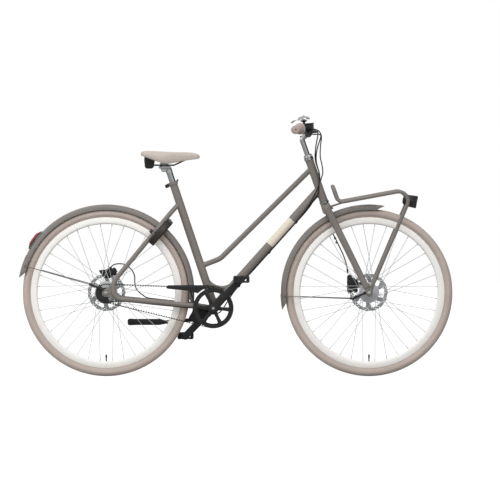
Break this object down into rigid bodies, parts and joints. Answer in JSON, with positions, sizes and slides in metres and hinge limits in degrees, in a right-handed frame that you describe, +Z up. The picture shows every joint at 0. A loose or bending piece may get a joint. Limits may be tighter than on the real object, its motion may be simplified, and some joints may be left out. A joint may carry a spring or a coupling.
{
  "type": "step-through bicycle",
  "caption": "Step-through city bicycle with sloping frame tubes, belt drive, full fenders, front platform rack, disc brakes, ring lock and kickstand.",
  "frame": {"origin": "on the floor under the middle of the whole bicycle's bounding box", "axes": "+X forward along the wheelbase, +Y to the rider's left, +Z up; the drive belt is on the -Y side"},
  "size_m": [1.8206, 0.6474, 1.103],
  "materials": {
    "frame_paint": "matte powder coat",
    "black_metal": "satin black coating",
    "black_plastic": "fine-grained moulded",
    "silver_metal": "polished",
    "brake_disc": "brushed round the axle",
    "rim_paint": "semi-gloss enamel",
    "tyre_rubber": "matte, fine tread",
    "grip_rubber": "matte, ribbed",
    "cable_rubber": "matte",
    "seat_cover": "grained imitation leather",
    "tail_lamp": "clear red moulding",
    "lamp_lens": "clear moulded"
  },
  "bodies": {
    "frame": {"main_frame": "frame_paint", "right_stay": "frame_paint", "left_stay": "frame_paint", "headset_cup_lower": "black_metal", "headset_cup_upper": "black_metal", "bottom_bracket": "black_metal", "seat_clamp_collar": "black_metal", "rear_axle": "silver_metal", "gear_cassette_joint": "black_plastic", "rear_brake_caliper": "black_metal", "rear_brake_hose": "cable_rubber", "shift_cable": "cable_rubber", "belt_guard": "black_plastic", "drive_belt": "cable_rubber", "rear_fender": "frame_paint", "tail_light": "tail_lamp", "lock_housing": "black_metal"},
    "steering": {"fork": "frame_paint", "quill_stem": "silver_metal", "handlebar": "black_metal", "grip_left": "grip_rubber", "grip_right": "grip_rubber", "brake_body_left": "black_metal", "brake_body_right": "black_metal", "bell": "black_metal", "front_fender": "frame_paint", "front_rack": "frame_paint", "headlight_housing": "black_plastic", "headlight_lens": "lamp_lens", "front_brake_caliper": "black_metal", "front_brake_hose": "cable_rubber", "front_axle": "silver_metal"},
    "front_wheel": {"front_tyre": "tyre_rubber", "front_rim": "rim_paint", "front_hub": "silver_metal", "front_rotor": "brake_disc"},
    "rear_wheel": {"rear_tyre": "tyre_rubber", "rear_rim": "rim_paint", "rear_hub": "silver_metal", "rear_rotor": "brake_disc"},
    "sprocket": {"rear_sprocket": "silver_metal"},
    "crankset": {"crank_right": "black_metal", "crank_left": "black_metal", "belt_ring": "black_metal"},
    "right_pedal": {"pedal_right": "black_plastic"},
    "left_pedal": {"pedal_left": "black_plastic"},
    "seat": {"seatpost": "silver_metal", "saddle_clamp": "silver_metal", "saddle_rails": "black_metal", "saddle_base": "black_plastic", "saddle_cover": "seat_cover", "saddle_bumper": "cable_rubber"},
    "seat_lever": {"seat_clamp_lever": "black_metal"},
    "stand": {"kickstand": "black_plastic"},
    "shackle": {"lock_shackle": "silver_metal"},
    "left_lever": {"brake_lever_left": "black_metal"},
    "right_lever": {"brake_lever_right": "black_metal"},
    "shifter": {"shift_grip": "grip_rubber"},
    "bell_thumb": {"bell_lever": "black_plastic"}
  },
  "joints": [
    {"name": "steering", "type": "hinge", "parent": "frame", "child": "steering", "pos_m": [0.5118, 0, 0.33374], "axis": [-0.3338, 0, 0.9426], "range_deg": [-60, 60], "deforming": ["rear_brake_hose", "shift_cable"]},
    {"name": "front_wheel", "type": "hinge", "parent": "steering", "child": "front_wheel", "pos_m": [0.55959, 0, 0.35066], "axis": [0, 1, 0], "continuous": true},
    {"name": "rear_wheel", "type": "hinge", "parent": "frame", "child": "rear_wheel", "pos_m": [-0.54424, 0, 0.35066], "axis": [0, 1, 0], "continuous": true},
    {"name": "crank", "type": "hinge", "parent": "frame", "child": "crankset", "pos_m": [-0.09441, 0, 0.28766], "axis": [0, 1, 0], "continuous": true, "deforming": ["drive_belt"]},
    {"name": "rear_sprocket", "type": "hinge", "parent": "frame", "child": "sprocket", "pos_m": [-0.54424, 0, 0.35066], "axis": [0, 1, 0], "continuous": true},
    {"name": "pedal_right", "type": "hinge", "parent": "crankset", "child": "right_pedal", "pos_m": [0.02368, 0, 0.40995], "axis": [0, 1, 0], "continuous": true},
    {"name": "pedal_left", "type": "hinge", "parent": "crankset", "child": "left_pedal", "pos_m": [-0.2125, 0, 0.16537], "axis": [0, 1, 0], "continuous": true},
    {"name": "seat_height", "type": "slide", "parent": "frame", "child": "seat", "axis": [-0.3173, 0, 0.9483], "range_m": [-0.035, 0.15]},
    {"name": "seat_clamp_lever", "type": "hinge", "parent": "frame", "child": "seat_lever", "pos_m": [-0.29011, 0.0173, 0.79751], "axis": [-0.3173, 0, 0.9483], "range_deg": [0, 150]},
    {"name": "kickstand", "type": "hinge", "parent": "frame", "child": "stand", "pos_m": [-0.17141, 0.045, 0.23466], "axis": [0.2199, -0.9755, 0], "range_deg": [0, 133]},
    {"name": "wheel_lock", "type": "hinge", "parent": "frame", "child": "shackle", "pos_m": [-0.32512, 0, 0.60008], "axis": [-0.7513, 0, 0.66], "range_deg": [0, 92]},
    {"name": "brake_lever_left", "type": "hinge", "parent": "steering", "child": "left_lever", "pos_m": [0.31407, 0.20512, 1.03218], "axis": [0.1303, 0.0526, 0.9901], "range_deg": [0, 16], "stiffness_Nm_per_rad": 2},
    {"name": "brake_lever_right", "type": "hinge", "parent": "steering", "child": "right_lever", "pos_m": [0.31407, -0.20512, 1.03218], "axis": [-0.1303, 0.0526, -0.9901], "range_deg": [0, 16], "stiffness_Nm_per_rad": 2},
    {"name": "shift_grip", "type": "hinge", "parent": "steering", "child": "shifter", "pos_m": [0.2508, -0.312, 1.03483], "axis": [0.1496, 0.9882, 0.0328], "range_deg": [-60, 60]},
    {"name": "bell_lever", "type": "hinge", "parent": "steering", "child": "bell_thumb", "pos_m": [0.28693, 0.102, 1.07983], "axis": [-0.0611, 0, 0.9981], "range_deg": [0, 30], "stiffness_Nm_per_rad": 0.1}
  ],
  "couplings": [
    {"joint": "rear_sprocket", "follows": "crank", "ratio": 2.1818}
  ]
}
